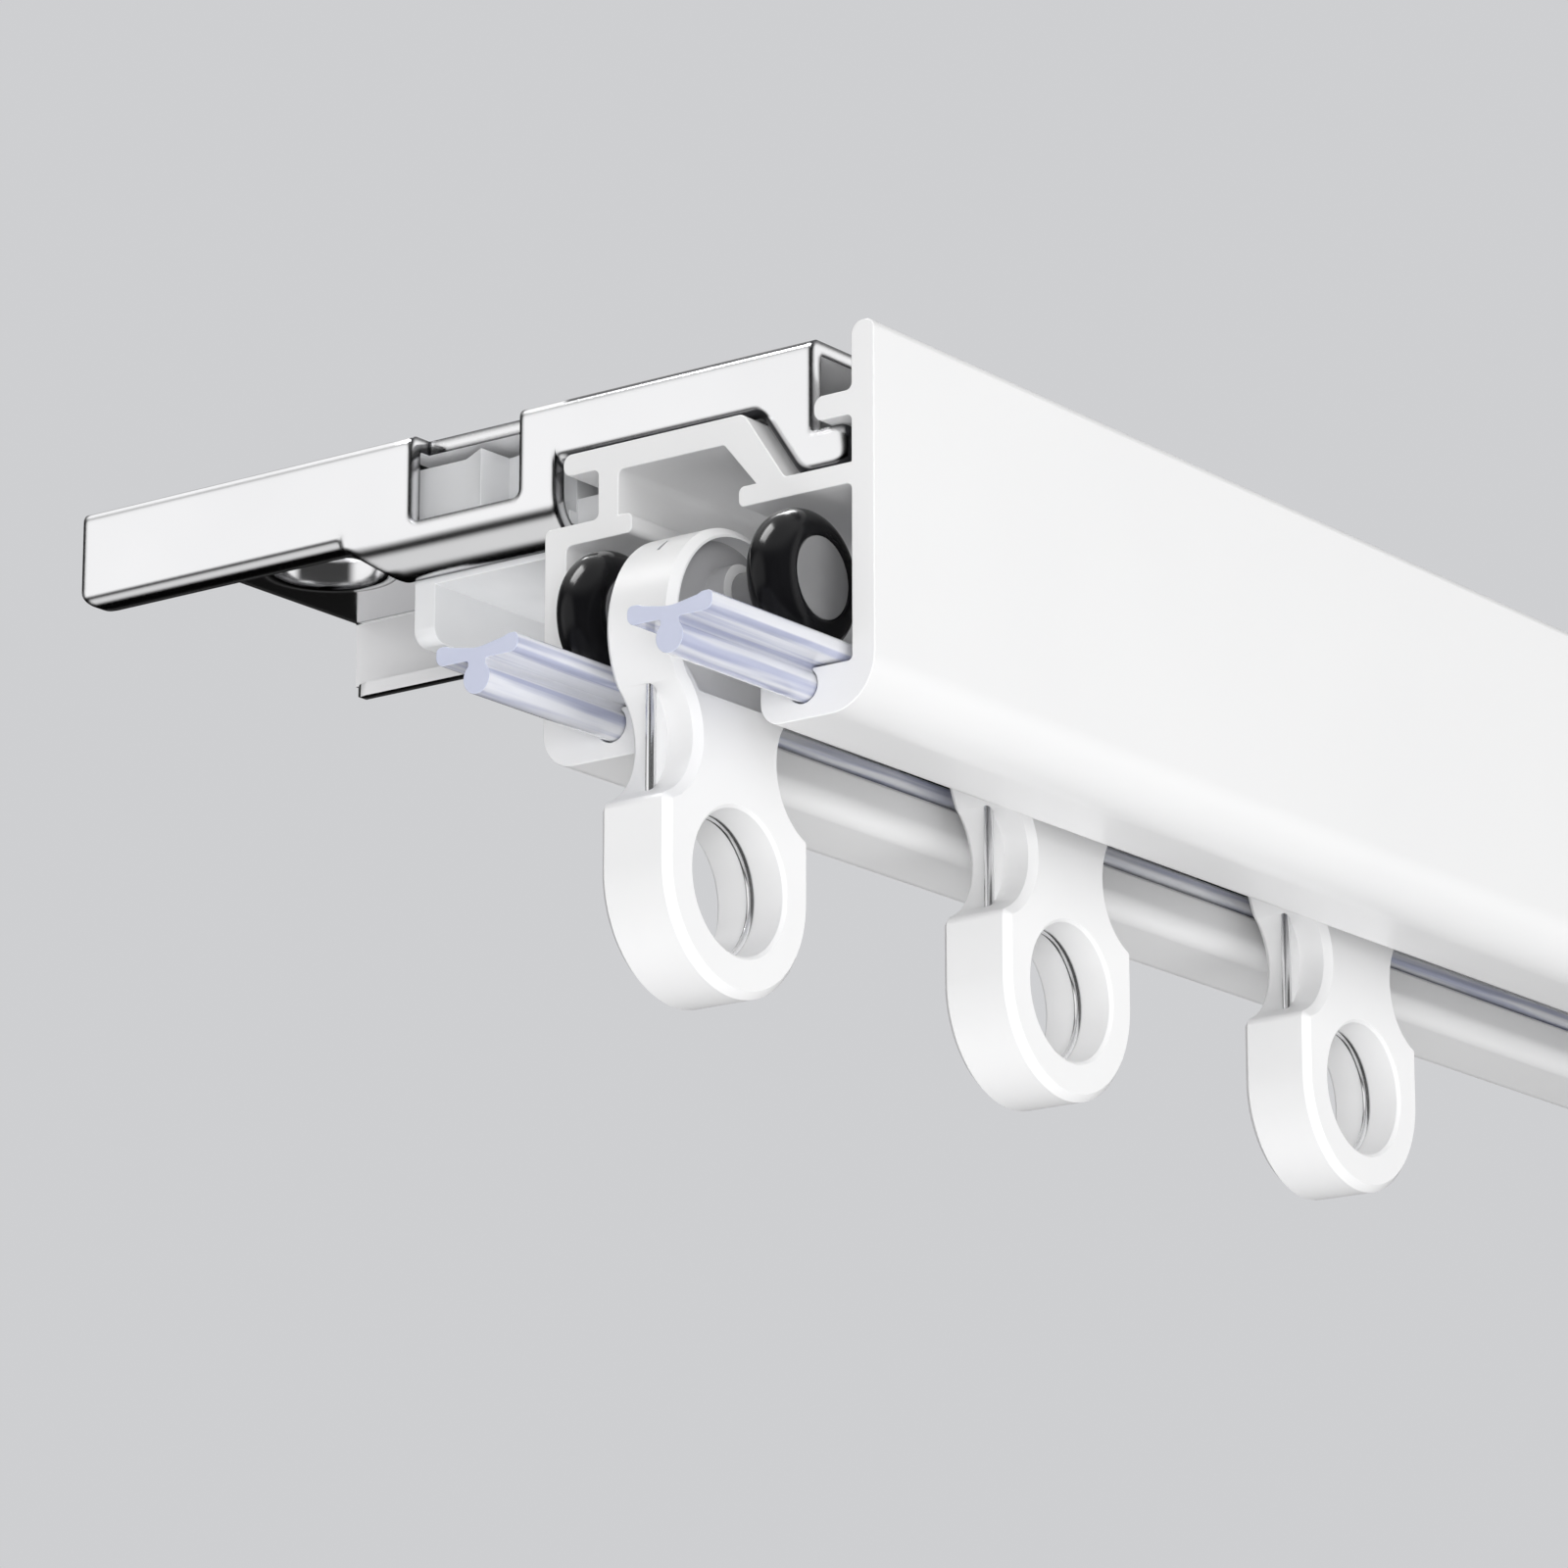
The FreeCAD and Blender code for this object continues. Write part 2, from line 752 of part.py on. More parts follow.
def head_slit():
    """Short slit on the crown of the head, in its middle plane."""
    half_length = slit_length / 2
    cut = box(
        (-half_length, -slit_width / 2, head_radius - slit_depth),
        (half_length, slit_width / 2, head_radius + slit_depth),
    )
    cut.rotate(Vector(0, 0, 0), Vector(0, 1, 0), 90 - math.degrees(slit_angle))
    cut.translate(Vector(0, 0, -head_drop))
    return cut


def runner_body():
    half = runner_thickness / 2
    body = runner_blank()
    for side in (-1, 1):
        body = body.cut(head_recess(side))
    body = body.fuse(disc(0, 0, boss_radius, -boss_end, boss_end))
    fin = box(
        (-link_radius, -fin_thickness / 2, -neck_drop - neck_radius),
        (link_radius, fin_thickness / 2, -neck_drop + neck_radius),
    )
    body = body.fuse(fin)
    body = body.cut(eye_bore())
    body = body.cut(disc(0, 0, axle_radius, -boss_end - half, boss_end + half))
    return body.cut([wire_link(), eye_ring(), head_slit()])


def axle_pin():
    end = strip_offset + wheel_width / 2 - hub_cap - axle_end_play
    return disc(0, 0, axle_radius, -end, end)


def wheel_hub(side):
    """Disc with a collar towards the runner, bored from its inner side only."""
    collar_end = side * (boss_end + boss_play)
    inner = side * (strip_offset - wheel_width / 2)
    outer = side * (strip_offset + wheel_width / 2)
    blind = outer - side * hub_cap
    hub = disc(0, 0, tyre_core, min(inner, outer), max(inner, outer))
    hub = hub.fuse(disc(0, 0, hub_collar_radius, min(collar_end, inner), max(collar_end, inner)))
    bore_start, bore_end = sorted((collar_end, blind))
    return hub.cut(disc(0, 0, axle_radius + axle_fit, bore_start, bore_end))


def wheel_tyre(side):
    """Half-round ring on the hub."""
    middle = side * strip_offset
    half = wheel_width / 2
    low = Vector(tyre_core, middle - half, 0)
    high = Vector(tyre_core, middle + half, 0)
    crown = Vector(wheel_radius, middle, 0)
    section = Part.Wire([Part.Arc(low, crown, high).toShape(), Part.makeLine(high, low)])
    return Part.Face(section).revolve(Vector(0, 0, 0), Vector(0, 1, 0), 360)


def main():
    save("track_profile", track_profile())
    save("front_silencer_strip", silencer_strip(-1))
    save("rear_silencer_strip", silencer_strip(1))
    save("ceiling_bracket", ceiling_bracket())
    save("catch_slide", catch_slide())

    pieces = {
        "body": runner_body(),
        "wire_link": wire_link(),
        "eye_ring": eye_ring(),
        "axle_pin": axle_pin(),
        "front_tyre": wheel_tyre(-1),
        "front_hub": wheel_hub(-1),
        "rear_tyre": wheel_tyre(1),
        "rear_hub": wheel_hub(1),
    }
    for number in range(runner_count):
        middle = Vector(cut_end + number * runner_pitch, centre_line(0), axle_height)
        for piece, shape in pieces.items():
            save(f"runner_{number + 1}_{piece}", shape.translated(middle))


main()
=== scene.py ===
import json
import math

import bmesh
import bpy
from mathutils import Matrix, Vector

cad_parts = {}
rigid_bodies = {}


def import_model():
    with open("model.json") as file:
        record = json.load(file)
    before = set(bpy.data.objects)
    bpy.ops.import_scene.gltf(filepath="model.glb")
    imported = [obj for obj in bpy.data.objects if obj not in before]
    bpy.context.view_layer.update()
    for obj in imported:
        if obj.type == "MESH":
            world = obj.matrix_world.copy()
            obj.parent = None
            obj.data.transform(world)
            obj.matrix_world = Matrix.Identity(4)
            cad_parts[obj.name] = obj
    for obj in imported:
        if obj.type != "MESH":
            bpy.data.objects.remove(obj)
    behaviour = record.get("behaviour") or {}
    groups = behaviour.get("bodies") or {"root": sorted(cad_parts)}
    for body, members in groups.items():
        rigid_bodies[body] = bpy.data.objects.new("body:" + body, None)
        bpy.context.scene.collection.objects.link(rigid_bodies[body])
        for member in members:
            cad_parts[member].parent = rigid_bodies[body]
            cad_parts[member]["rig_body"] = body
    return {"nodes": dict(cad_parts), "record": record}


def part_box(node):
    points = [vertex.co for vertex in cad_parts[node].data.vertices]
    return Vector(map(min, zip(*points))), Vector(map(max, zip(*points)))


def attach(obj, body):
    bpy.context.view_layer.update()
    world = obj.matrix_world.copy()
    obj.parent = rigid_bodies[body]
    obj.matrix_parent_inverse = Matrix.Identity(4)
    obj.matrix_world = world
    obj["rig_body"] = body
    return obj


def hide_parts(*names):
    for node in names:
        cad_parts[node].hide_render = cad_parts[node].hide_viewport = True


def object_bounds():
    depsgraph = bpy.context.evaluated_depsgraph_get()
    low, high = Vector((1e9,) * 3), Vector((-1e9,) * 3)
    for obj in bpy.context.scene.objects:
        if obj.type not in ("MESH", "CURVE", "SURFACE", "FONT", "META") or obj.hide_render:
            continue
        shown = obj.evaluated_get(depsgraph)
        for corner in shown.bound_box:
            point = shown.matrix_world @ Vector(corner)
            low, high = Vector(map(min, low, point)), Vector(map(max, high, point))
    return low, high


mm = 0.001
mergeDistance = 0.0005 * mm  # points closer than this become one

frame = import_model()
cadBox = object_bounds()
nodes = frame["nodes"]
scene = bpy.context.scene
print("frame loaded with", len(nodes), "nodes")


def link(tree, source, target):
    tree.links.new(source, target)


def feed(tree, source, socket):
    # source is another node's output, or a fixed colour or direction
    if not isinstance(source, tuple):
        link(tree, source, socket)
    elif socket.type == "RGBA":
        socket.default_value = (*source, 1)
    else:
        socket.default_value = source


def newMaterial(name):
    material = bpy.data.materials.new(name)
    material.use_nodes = True
    tree = material.node_tree
    tree.nodes.clear()
    output = tree.nodes.new("ShaderNodeOutputMaterial")
    shader = tree.nodes.new("ShaderNodeBsdfPrincipled")
    link(tree, shader.outputs["BSDF"], output.inputs["Surface"])
    return material, tree, shader


def mixColours(tree, mask, first, second):
    mix = tree.nodes.new("ShaderNodeMix")
    mix.data_type = "RGBA"
    link(tree, mask, mix.inputs["Factor"])
    feed(tree, first, mix.inputs["A"])
    feed(tree, second, mix.inputs["B"])
    return mix.outputs["Result"]


def spread(tree, mask, low, high):
    node = tree.nodes.new("ShaderNodeMapRange")
    node.inputs["To Min"].default_value = low
    node.inputs["To Max"].default_value = high
    link(tree, mask, node.inputs["Value"])
    return node.outputs["Result"]


def fade(tree, source, start, end):
    node = tree.nodes.new("ShaderNodeMapRange")
    node.interpolation_type = "SMOOTHSTEP"
    node.inputs["From Min"].default_value = start
    node.inputs["From Max"].default_value = end
    link(tree, source, node.inputs["Value"])
    return node.outputs["Result"]


def addMath(tree, operation, *sources):
    node = tree.nodes.new("ShaderNodeMath")
    node.operation = operation
    for index, source in enumerate(sources):
        link(tree, source, node.inputs[index])
    return node.outputs["Value"]


def dotProduct(tree, first, second):
    node = tree.nodes.new("ShaderNodeVectorMath")
    node.operation = "DOT_PRODUCT"
    feed(tree, first, node.inputs[0])
    feed(tree, second, node.inputs[1])
    return node.outputs["Value"]


def splitVector(tree, source):
    split = tree.nodes.new("ShaderNodeSeparateXYZ")
    link(tree, source, split.inputs["Vector"])
    return split.outputs


def addBump(tree, shader, height, depth, strength, base=None):
    bump = tree.nodes.new("ShaderNodeBump")
    if base:
        link(tree, base, bump.inputs["Normal"])
    bump.inputs["Distance"].default_value = depth
    bump.inputs["Strength"].default_value = strength
    link(tree, height, bump.inputs["Height"])
    link(tree, bump.outputs["Normal"], shader.inputs["Normal"])


def roundedNormal(tree, edge):
    bevelNode = tree.nodes.new("ShaderNodeBevel")
    bevelNode.samples = edge["samples"]
    bevelNode.inputs["Radius"].default_value = edge["radius"]
    return bevelNode.outputs["Normal"]


def paintEdgeReflection(tree, colour, rounded, edge):
    # painted reflection: where the rounded normal leaves the flat one, an edge is near, and there
    # the edge colour is painted in for the dark surroundings mirrored in the rounded chrome
    flat = tree.nodes.new("ShaderNodeNewGeometry").outputs["True Normal"]
    away = fade(tree, dotProduct(tree, rounded, flat), *edge["fade"])
    return mixColours(tree, away, edge["colour"], colour)


def paintRollReflection(tree, colour, rolls):
    # painted reflection: over the track, the rolled edges between web and foot are painted dark for
    # the dark gap beside the track that they mirror
    normal = tree.nodes.new("ShaderNodeNewGeometry").outputs["Normal"]
    place = tree.nodes.new("ShaderNodeTexCoord").outputs["Object"]
    across = addMath(tree, "ABSOLUTE", splitVector(tree, normal)["X"])
    onWeb = fade(tree, across, *rolls["web"])
    onFoot = fade(tree, across, *rolls["foot"])
    behind = fade(tree, splitVector(tree, place)["Y"], *rolls["behind"])
    keep = addMath(tree, "MAXIMUM", addMath(tree, "MAXIMUM", onWeb, onFoot), behind)
    return mixColours(tree, keep, rolls["colour"], colour)


# mixes in the plastic's own pale colour below the fade, where the painted recess shade ends
def paleBelow(tree, colour, pale):
    place = tree.nodes.new("ShaderNodeTexCoord").outputs["Object"]
    above = fade(tree, splitVector(tree, place)["Z"], *pale["fade"])
    return mixColours(tree, above, pale["colour"], colour)


grainLayers = {
    "Height": {"scale": "Fine", "detail": 3},
    "Mottle": {"scale": "Cloud", "detail": 2},
}
evenStretch = (1, 1, 1)  # a number below 1 draws the pattern out into streaks along that axis


def buildGrainGroup():
    group = bpy.data.node_groups.new("surfaceGrain", "ShaderNodeTree")
    for name, kind in (("Fine", "Float"), ("Cloud", "Float"), ("Stretch", "Vector")):
        group.interface.new_socket(name, in_out="INPUT", socket_type="NodeSocket" + kind)
    for name in grainLayers:
        group.interface.new_socket(name, in_out="OUTPUT", socket_type="NodeSocketFloat")
    entry = group.nodes.new("NodeGroupInput")
    leave = group.nodes.new("NodeGroupOutput")
    place = group.nodes.new("ShaderNodeTexCoord")
    mapping = group.nodes.new("ShaderNodeMapping")
    link(group, place.outputs["Object"], mapping.inputs["Vector"])
    link(group, entry.outputs["Stretch"], mapping.inputs["Scale"])
    for name, layer in grainLayers.items():
        noise = group.nodes.new("ShaderNodeTexNoise")
        noise.inputs["Detail"].default_value = layer["detail"]
        link(group, mapping.outputs["Vector"], noise.inputs["Vector"])
        link(group, entry.outputs[layer["scale"]], noise.inputs["Scale"])
        link(group, noise.outputs["Fac"], leave.inputs[name])
    return group


surfaceGrain = buildGrainGroup()


def buildMaterial(settings):
    material, tree, shader = newMaterial(settings["name"])
    grain = tree.nodes.new("ShaderNodeGroup")
    grain.node_tree = surfaceGrain
    grain.inputs["Fine"].default_value = settings["fine"]
    grain.inputs["Cloud"].default_value = settings["cloud"]
    grain.inputs["Stretch"].default_value = settings.get("stretch", evenStretch)
    mottle = grain.outputs["Mottle"]
    clouds = mottle
    if "contrast" in settings:
        clouds = fade(tree, mottle, *settings["contrast"])
    colour = mixColours(tree, clouds, settings["dark"], settings["light"])
    rounded = None
    if "edge" in settings:
        rounded = roundedNormal(tree, settings["edge"])
        colour = paintEdgeReflection(tree, colour, rounded, settings["edge"])
    if "rolls" in settings:
        colour = paintRollReflection(tree, colour, settings["rolls"])
    if "pale" in settings:
        colour = paleBelow(tree, colour, settings["pale"])
    link(tree, colour, shader.inputs["Base Color"])
    link(tree, spread(tree, mottle, *settings["roughness"]), shader.inputs["Roughness"])
    addBump(tree, shader, grain.outputs["Height"], settings["depth"], settings["strength"], rounded)
    for socket, value in settings.get("plain", {}).items():
        shader.inputs[socket].default_value = value
    return material


# dark and light are the ends of the mottled colour, fine and cloud the grain's scales per metre
# depth and strength are those of the fine bump, and plain holds what is the same all over
whiteCoat = {
    "name": "whitePowderCoat",
    "dark": (0.84, 0.84, 0.845),
    "light": (0.88, 0.88, 0.88),
    "roughness": (0.34, 0.44),
    "fine": 2600,
    "cloud": 60,
    "depth": 0.01 * mm,
    "strength": 0.35,
    "plain": {"Coat Weight": 0.15, "Coat Roughness": 0.25},
}
# the lilac is the strip's own tint; the white and dark lengthwise streaks are painted highlights
# and painted reflections for light refracted in the clear strip
clearStrip = {
    "name": "clearStripSidesPaintedStreaks",
    "dark": (0.56, 0.59, 0.76),
    "light": (0.95, 0.96, 1.0),
    "roughness": (0.03, 0.09),
    "fine": 1100,
    "cloud": 1500,
    "stretch": (0.03, 1, 1),
    "contrast": (0.38, 0.58),
    "depth": 0.06 * mm,
    "strength": 0.6,
    "plain": {"Transmission Weight": 0.3, "IOR": 1.46, "Coat Weight": 0.7, "Coat Roughness": 0.03},
}
stripCut = {
    "name": "clearStripCutEnd",
    "dark": (0.60, 0.635, 0.78),
    "light": (0.65, 0.68, 0.83),
    "roughness": (0.3, 0.42),
    "fine": 2500,
    "cloud": 500,
    "depth": 0.01 * mm,
    "strength": 0.3,
    "plain": {"Transmission Weight": 0.1, "IOR": 1.48},
}
# painted reflection: a pale, mostly diffuse colour on the bracket's inside faces and the plate's
# underside stands in for the lit track mirrored there
insideLitReflectionPaint = {
    "name": "paintedReflectionInside",
    "dark": (0.86, 0.86, 0.87),
    "light": (0.94, 0.94, 0.95),
    "roughness": (0.3, 0.42),
    "fine": 700,
    "cloud": 90,
    "depth": 0.006 * mm,
    "strength": 0.3,
    "plain": {"Metallic": 0.12},
}
brightSheet = {
    "name": "brightPlatedSheet",
    "dark": (0.80, 0.80, 0.81),
    "light": (0.88, 0.88, 0.89),
    "roughness": (0.09, 0.15),
    "fine": 700,
    "cloud": 90,
    "depth": 0.004 * mm,
    "strength": 0.2,
    # painted reflection: the edge colour is painted dark along the chrome's edges for the
    # surroundings they mirror; the radius also rounds the shading
    "edge": {
        "radius": 0.65 * mm,
        "samples": 8,
        "fade": (0.88, 0.985),
        "colour": (0.06, 0.06, 0.065),
    },
    # painted reflection: the rolls colour paints the rolled edges over the track dark for the gap
    # they mirror
    "rolls": {
        "web": (0.84, 0.95),
        "foot": (0.42, 0.28),
        "behind": (-30.2 * mm, -29.6 * mm),
        "colour": (0.05, 0.05, 0.055),
    },
    "plain": {"Metallic": 1.0},
}
milkyPlastic = {
    "name": "milkyMouldedPlastic",
    "dark": (0.80, 0.81, 0.825),
    "light": (0.90, 0.905, 0.915),
    "roughness": (0.16, 0.26),
    "fine": 1400,
    "cloud": 220,
    "depth": 0.01 * mm,
    "strength": 0.25,
    "plain": {"Transmission Weight": 0.08, "IOR": 1.49},
}
whitePlastic = {
    "name": "whiteMouldedPlastic",
    "dark": (0.83, 0.83, 0.835),
    "light": (0.88, 0.88, 0.88),
    "roughness": (0.3, 0.42),
    "fine": 1800,
    "cloud": 120,
    "depth": 0.01 * mm,
    "strength": 0.3,
    "plain": {"IOR": 1.46},
}
steelWire = {
    "name": "drawnSteelWire",
    "dark": (0.74, 0.74, 0.75),
    "light": (0.88, 0.88, 0.89),
    "roughness": (0.12, 0.2),
    "fine": 3000,
    "cloud": 1200,
    "stretch": (1, 1, 0.08),
    "depth": 0.006 * mm,
    "strength": 0.4,
    "plain": {"Metallic": 0.92},
}
blackTyre = {
    "name": "glossyBlackRubber",
    "dark": (0.004, 0.004, 0.005),
    "light": (0.01, 0.01, 0.011),
    "roughness": (0.13, 0.2),
    "fine": 1500,
    "cloud": 300,
    "depth": 0.008 * mm,
    "strength": 0.3,
    "plain": {"IOR": 1.27},
}
# painted shade: grey for the shade that falls in the runner head's recess and on its boss, fading
# to the plastic's own pale colour lower down
recessShadePaint = {
    "name": "paintedShadeInRecess",
    "dark": (0.36, 0.36, 0.37),
    "light": (0.46, 0.46, 0.47),
    "roughness": (0.3, 0.42),
    "fine": 1800,
    "cloud": 120,
    "depth": 0.01 * mm,
    "strength": 0.3,
    "pale": {"fade": (-19.2 * mm, -17.6 * mm), "colour": (0.86, 0.86, 0.865)},
}
greyHub = {
    "name": "greyHubPlastic",
    "dark": (0.19, 0.19, 0.195),
    "light": (0.26, 0.26, 0.265),
    "roughness": (0.4, 0.55),
    "fine": 2200,
    "cloud": 400,
    "depth": 0.012 * mm,
    "strength": 0.4,
}
finishes = {
    "white_coat": buildMaterial(whiteCoat),
    "clear_strip": buildMaterial(clearStrip),
    "bright_sheet": buildMaterial(brightSheet),
    "milky_plastic": buildMaterial(milkyPlastic),
    "white_plastic": buildMaterial(whitePlastic),
    "steel_wire": buildMaterial(steelWire),
    "black_tyre": buildMaterial(blackTyre),
    "grey_hub": buildMaterial(greyHub),
}
cutEndFinish = buildMaterial(stripCut)
insidePaintedReflection = buildMaterial(insideLitReflectionPaint)
recessPaintedShade = buildMaterial(recessShadePaint)
print("materials built")

slotOfNode = {row["node"]: row["material_slot"] for row in frame["record"]["subparts"]}
acrossTrack = Vector((0, 1, 0))
flatAngle = 0.3  # degrees between facets that are one flat face
facing = 0.9  # how far a face's normal lies along an axis for the face to count as facing it


def meshOfNode(node):
    bm = bmesh.new()
    bm.from_mesh(nodes[node].data)
    bmesh.ops.remove_doubles(bm, verts=bm.verts, dist=mergeDistance)
    bmesh.ops.dissolve_limit(
        bm, angle_limit=math.radians(flatAngle), verts=bm.verts, edges=bm.edges
    )
    bm.normal_update()
    return bm


def softenEdges(bm, edge):
    limit = math.radians(edge["sharpness"])
    sharp = [e for e in bm.edges if len(e.link_faces) == 2 and e.calc_face_angle(0) > limit]
    bmesh.ops.bevel(
        bm,
        geom=sharp,
        offset=edge["width"],
        offset_type="OFFSET",
        segments=edge["steps"],
        profile=0.5,
        affect="EDGES",
        clamp_overlap=True,
        material=-1,
    )


def finishPiece(name, bm, node, smoothAngle=40, second=None):
    mesh = bpy.data.meshes.new(name)
    bm.to_mesh(mesh)
    bm.free()
    slotName = slotOfNode[node]
    mesh.materials.append(finishes[slotName])
    if second:
        mesh.materials.append(second)
    mesh.polygons.foreach_set("use_smooth", [True] * len(mesh.polygons))
    mesh.set_sharp_from_angle(angle=math.radians(smoothAngle))
    piece = bpy.data.objects.new(name, mesh)
    scene.collection.objects.link(piece)
    weighted = piece.modifiers.new("evenNormals", "WEIGHTED_NORMAL")
    weighted.keep_sharp = True
    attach(piece, nodes[node]["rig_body"])
    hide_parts(node)


# sharpness is the angle in degrees past which an edge is softened
softEdges = {
    "track_profile": {"width": 0.12 * mm, "sharpness": 30, "steps": 2},
    "front_silencer_strip": {"width": 0.05 * mm, "sharpness": 60, "steps": 2},
    "rear_silencer_strip": {"width": 0.05 * mm, "sharpness": 60, "steps": 2},
    "ceiling_bracket": {"width": 0.14 * mm, "sharpness": 40, "steps": 2},
    "catch_slide": {"width": 0.15 * mm, "sharpness": 30, "steps": 3},
}
runnerEdge = {"width": 0.08 * mm, "sharpness": 32, "steps": 2}
stripEndFacing = 0.8
sheetSkin = {
    "insideFrom": 9.0 * mm,
    "insideTo": 12.9 * mm,
    "plateDepth": 2.5 * mm,
    # painted reflection: the top plate's underside gets the pale inside colour over the track,
    # where it mirrors the lit track, not over the screw
    "plateBack": -16.5 * mm,
}


def paintStripEnds(bm):
    for face in bm.faces:
        if abs(face.normal.x) > stripEndFacing:
            face.material_index = 1


# paints the pale inside colour, a painted reflection of the lit track, on the flanges' inside faces
# and the plate's underside over the track
def paintSheetInsideReflection(bm):
    plateBack = sheetSkin["plateBack"]
    bmesh.ops.bisect_plane(
        bm,
        geom=bm.verts[:] + bm.edges[:] + bm.faces[:],
        plane_co=(0, plateBack, 0),
        plane_no=acrossTrack,
    )
    for face in bm.faces:
        middle = face.calc_center_median()
        reach = abs(middle.x)
        facesIn = face.normal.x * middle.x < -facing * reach
        onSide = facesIn and sheetSkin["insideFrom"] < reach < sheetSkin["insideTo"]
        facesDown = face.normal.z < -facing
        underPlate = facesDown and middle.z > -sheetSkin["plateDepth"] and middle.y < plateBack
        if onSide or underPlate:
            face.material_index = 1


for node, edge in softEdges.items():
    bm = meshOfNode(node)
    softenEdges(bm, edge)
    second = None
    if node.endswith("strip"):
        second = cutEndFinish
        paintStripEnds(bm)
    elif node == "ceiling_bracket":
        second = insidePaintedReflection
        paintSheetInsideReflection(bm)
    finishPiece(node + "_finished", bm, node, second=second)
print("track, strips, bracket and catch finished")

tyreShape = {
    "hubShare": 0.574,  # the hub's radius as a share of the tyre's
    "sideGroove": 0.14 * mm,
    "sectionSteps": 64,
    "turnSteps": 96,
    "smoothAngle": 50,
}
wireShape = {"sectionSteps": 20, "turnSteps": 128, "smoothAngle": 80}
quarterTurn = Matrix.Rotation(math.radians(90), 4, "Y")


def addSection(bm, centre, height, radius, steps):
    # a circle in one plane with the axle, ready to be turned round it
    place = Matrix.Translation(centre + Vector((0, 0, height))) @ quarterTurn
    bmesh.ops.create_circle(bm, cap_ends=False, segments=steps, radius=radius, matrix=place)


def turn(bm, geometry, centre, angle, steps):
    bmesh.ops.spin(
        bm,
        geom=geometry,
        cent=centre,
        axis=acrossTrack,
        dvec=(0, 0, 0),
        angle=math.radians(angle),
        steps=steps,
        use_merge=angle == 360,
        use_duplicate=False,
    )


def closeUp(bm):
    bmesh.ops.remove_doubles(bm, verts=bm.verts, dist=mergeDistance)
    bmesh.ops.recalc_face_normals(bm, faces=bm.faces)


def buildTyre(node):
    low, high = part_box(node)
    centre = (low + high) / 2
    outer = (high.z - low.z) / 2
    half = (high.y - low.y) / 2
    core = outer * tyreShape["hubShare"]
    rise = outer - core
    bulge = (half * half + rise * rise) / (2 * rise)
    bm = bmesh.new()
    addSection(bm, centre, outer - bulge, bulge, tyreShape["sectionSteps"])
    bmesh.ops.bisect_plane(
        bm,
        geom=bm.verts[:] + bm.edges[:],
        plane_co=centre + Vector((0, 0, core)),
        plane_no=(0, 0, 1),
        clear_inner=True,
    )
    ends = [v for v in bm.verts if len(v.link_edges) == 1]
    for v in ends:
        v.co.y -= math.copysign(tyreShape["sideGroove"], v.co.y - centre.y)
    bmesh.ops.contextual_create(bm, geom=ends)
    turn(bm, bm.verts[:] + bm.edges[:], centre, 360, tyreShape["turnSteps"])
    closeUp(bm)
    finishPiece(node + "_turned", bm, node, smoothAngle=tyreShape["smoothAngle"])


def buildRing(node):
    low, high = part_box(node)
    centre = (low + high) / 2
    wire = (high.y - low.y) / 2
    middle = (high.z - low.z) / 2 - wire
    bm = bmesh.new()
    addSection(bm, centre, middle, wire, wireShape["sectionSteps"])
    turn(bm, bm.verts[:] + bm.edges[:], centre, 360, wireShape["turnSteps"])
    closeUp(bm)
    finishPiece(node + "_turned", bm, node, smoothAngle=wireShape["smoothAngle"])


def buildLink(node):
    # one leg of round wire, a half turn over the head and one under the eye, then the other leg
    low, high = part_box(node)
    centre = (low + high) / 2
    wire = (high.y - low.y) / 2
    reach = (high.x - low.x) / 2 - wire
    headCentre = Vector((centre.x, centre.y, high.z - wire - reach))
    eyeCentre = Vector((centre.x, centre.y, low.z + wire + reach))
    bm = bmesh.new()
    bmesh.ops.create_circle(
        bm,
        cap_ends=False,
        segments=wireShape["sectionSteps"],
        radius=wire,
        matrix=Matrix.Translation(headCentre + Vector((reach, 0, 0))),
    )
    topRing = bm.edges[:]
    leg = bmesh.ops.extrude_edge_only(bm, edges=topRing)["geom"]
    lowPoints = [v for v in leg if isinstance(v, bmesh.types.BMVert)]
    bmesh.ops.translate(bm, verts=lowPoints, vec=eyeCentre - headCentre)
    legEdges = [e for e in leg if isinstance(e, bmesh.types.BMEdge)]
    lowRing = [e for e in legEdges if all(v in lowPoints for v in e.verts)]
    for ring, middle, angle in ((topRing, headCentre, -180), (lowRing, eyeCentre, 180)):
        points = list(dict.fromkeys(v for e in ring for v in e.verts))
        turn(bm, ring + points, middle, angle, wireShape["turnSteps"] // 2)
    bmesh.ops.bridge_loops(bm, edges=[e for e in bm.edges if e.is_boundary])
    closeUp(bm)
    finishPiece(node + "_bent", bm, node, smoothAngle=wireShape["smoothAngle"])


recess = {
    "skin": 0.25 * mm,  # how far below the body's faces a face has to lie
    "floorReach": 7.0 * mm,
    "bossReach": 2.9 * mm,
}


# painted shade: the recess floor and the boss in it get the grey painted-shade finish
def paintRecessShade(bm, node):
    low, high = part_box(node)
    half = (high.y - low.y) / 2
    pinLow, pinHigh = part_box(node.replace("_body", "_axle_pin"))
    axle = (pinLow + pinHigh) / 2
    for face in bm.faces:
        offset = face.calc_center_median() - axle
        reach = math.hypot(offset.x, offset.z)
        sunk = abs(offset.y) < half - recess["skin"]
        onFloor = abs(face.normal.y) > facing and reach < recess["floorReach"]
        if sunk and (onFloor or reach < recess["bossReach"]):
            face.material_index = 1


for node in nodes:
    if not node.startswith("runner_"):
        continue
    if node.endswith("_tyre"):
        buildTyre(node)
    elif node.endswith("_ring"):
        buildRing(node)
    elif node.endswith("_link"):
        buildLink(node)
    else:
        bm = meshOfNode(node)
        softenEdges(bm, runnerEdge)
        second = None
        if node.endswith("_body"):
            second = recessPaintedShade
            paintRecessShade(bm, node)
        finishPiece(node + "_finished", bm, node, second=second)
for node, item in nodes.items():
    item.data.materials.clear()
    item.data.materials.append(finishes[slotOfNode[node]])
print("runners finished")

